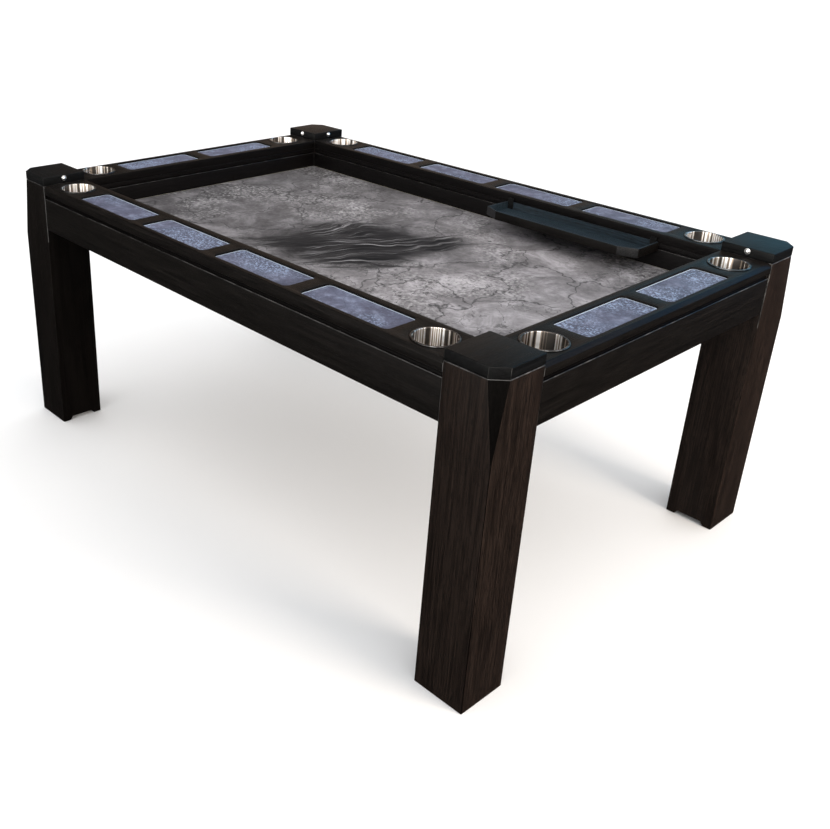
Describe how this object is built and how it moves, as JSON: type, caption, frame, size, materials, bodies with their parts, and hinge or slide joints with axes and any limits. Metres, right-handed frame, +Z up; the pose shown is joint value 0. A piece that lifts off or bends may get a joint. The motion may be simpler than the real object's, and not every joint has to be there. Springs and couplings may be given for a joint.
{
  "type": "gaming table",
  "caption": "Gaming table with a sunken play well, a rail with drop-in cups and printed insets, square capped legs and a sliding accessory tray.",
  "frame": {"origin": "on the floor under the middle of the table", "axes": "+X along the long side, +Y towards the side that carries the accessory tray, +Z up"},
  "size_m": [1.8288, 1.2128, 0.8128],
  "materials": {
    "stained_oak": "dark satin stain, open grain",
    "dark_board": "matt dark board",
    "polished_steel": "polished",
    "printed_inset": "matt print on a thin rubber pad",
    "printed_play_mat": "matt print on a thin rubber mat"
  },
  "bodies": {
    "table": {"rail_back": "stained_oak", "apron_back": "stained_oak", "wall_back": "stained_oak", "inset_back_1": "printed_inset", "inset_back_2": "printed_inset", "inset_back_3": "printed_inset", "inset_back_4": "printed_inset", "rail_front": "stained_oak", "apron_front": "stained_oak", "wall_front": "stained_oak", "inset_front_1": "printed_inset", "inset_front_2": "printed_inset", "inset_front_3": "printed_inset", "inset_front_4": "printed_inset", "rail_right": "stained_oak", "apron_right": "stained_oak", "wall_right": "stained_oak", "inset_right_1": "printed_inset", "inset_right_2": "printed_inset", "rail_left": "stained_oak", "apron_left": "stained_oak", "wall_left": "stained_oak", "inset_left_1": "printed_inset", "inset_left_2": "printed_inset", "leg_back_right": "stained_oak", "cap_back_right": "stained_oak", "leg_back_left": "stained_oak", "cap_back_left": "stained_oak", "leg_front_left": "stained_oak", "cap_front_left": "stained_oak", "leg_front_right": "stained_oak", "cap_front_right": "stained_oak", "play_mat": "printed_play_mat", "deck": "dark_board", "beam_1": "dark_board", "beam_2": "dark_board", "beam_3": "dark_board"},
    "accessory_tray": {"tray": "stained_oak", "tray_tongue": "stained_oak", "tray_hanger_left": "stained_oak", "tray_hanger_right": "stained_oak"},
    "cup_back_left_body": {"cup_back_left": "polished_steel"},
    "cup_back_right_body": {"cup_back_right": "polished_steel"},
    "cup_front_right_body": {"cup_front_right": "polished_steel"},
    "cup_front_left_body": {"cup_front_left": "polished_steel"},
    "cup_right_back_body": {"cup_right_back": "polished_steel"},
    "cup_right_front_body": {"cup_right_front": "polished_steel"},
    "cup_left_front_body": {"cup_left_front": "polished_steel"},
    "cup_left_back_body": {"cup_left_back": "polished_steel"},
    "catch_back_right_a_body": {"catch_back_right_a": "polished_steel"},
    "catch_back_right_b_body": {"catch_back_right_b": "polished_steel"},
    "catch_back_left_a_body": {"catch_back_left_a": "polished_steel"},
    "catch_back_left_b_body": {"catch_back_left_b": "polished_steel"},
    "catch_front_left_a_body": {"catch_front_left_a": "polished_steel"},
    "catch_front_left_b_body": {"catch_front_left_b": "polished_steel"},
    "catch_front_right_a_body": {"catch_front_right_a": "polished_steel"},
    "catch_front_right_b_body": {"catch_front_right_b": "polished_steel"}
  },
  "joints": [
    {"name": "tray_slide", "type": "slide", "parent": "table", "child": "accessory_tray", "axis": [1, 0, 0], "range_m": [-0.878, 0.168]},
    {"name": "cup_back_left_lift", "type": "slide", "parent": "table", "child": "cup_back_left_body", "axis": [0, 0, 1], "range_m": [0, 0.08]},
    {"name": "cup_back_right_lift", "type": "slide", "parent": "table", "child": "cup_back_right_body", "axis": [0, 0, 1], "range_m": [0, 0.08]},
    {"name": "cup_front_right_lift", "type": "slide", "parent": "table", "child": "cup_front_right_body", "axis": [0, 0, 1], "range_m": [0, 0.08]},
    {"name": "cup_front_left_lift", "type": "slide", "parent": "table", "child": "cup_front_left_body", "axis": [0, 0, 1], "range_m": [0, 0.08]},
    {"name": "cup_right_back_lift", "type": "slide", "parent": "table", "child": "cup_right_back_body", "axis": [0, 0, 1], "range_m": [0, 0.08]},
    {"name": "cup_right_front_lift", "type": "slide", "parent": "table", "child": "cup_right_front_body", "axis": [0, 0, 1], "range_m": [0, 0.08]},
    {"name": "cup_left_front_lift", "type": "slide", "parent": "table", "child": "cup_left_front_body", "axis": [0, 0, 1], "range_m": [0, 0.08]},
    {"name": "cup_left_back_lift", "type": "slide", "parent": "table", "child": "cup_left_back_body", "axis": [0, 0, 1], "range_m": [0, 0.08]},
    {"name": "catch_back_right_a_press", "type": "slide", "parent": "table", "child": "catch_back_right_a_body", "axis": [0, 1, 0], "range_m": [0, 0.004], "stiffness_N_per_m": 1500, "springref_m": -0.002},
    {"name": "catch_back_right_b_press", "type": "slide", "parent": "table", "child": "catch_back_right_b_body", "axis": [1, 0, 0], "range_m": [0, 0.004], "stiffness_N_per_m": 1500, "springref_m": -0.002},
    {"name": "catch_back_left_a_press", "type": "slide", "parent": "table", "child": "catch_back_left_a_body", "axis": [-1, 0, 0], "range_m": [0, 0.004], "stiffness_N_per_m": 1500, "springref_m": -0.002},
    {"name": "catch_back_left_b_press", "type": "slide", "parent": "table", "child": "catch_back_left_b_body", "axis": [0, 1, 0], "range_m": [0, 0.004], "stiffness_N_per_m": 1500, "springref_m": -0.002},
    {"name": "catch_front_left_a_press", "type": "slide", "parent": "table", "child": "catch_front_left_a_body", "axis": [0, -1, 0], "range_m": [0, 0.004], "stiffness_N_per_m": 1500, "springref_m": -0.002},
    {"name": "catch_front_left_b_press", "type": "slide", "parent": "table", "child": "catch_front_left_b_body", "axis": [-1, 0, 0], "range_m": [0, 0.004], "stiffness_N_per_m": 1500, "springref_m": -0.002},
    {"name": "catch_front_right_a_press", "type": "slide", "parent": "table", "child": "catch_front_right_a_body", "axis": [1, 0, 0], "range_m": [0, 0.004], "stiffness_N_per_m": 1500, "springref_m": -0.002},
    {"name": "catch_front_right_b_press", "type": "slide", "parent": "table", "child": "catch_front_right_b_body", "axis": [0, -1, 0], "range_m": [0, 0.004], "stiffness_N_per_m": 1500, "springref_m": -0.002}
  ]
}
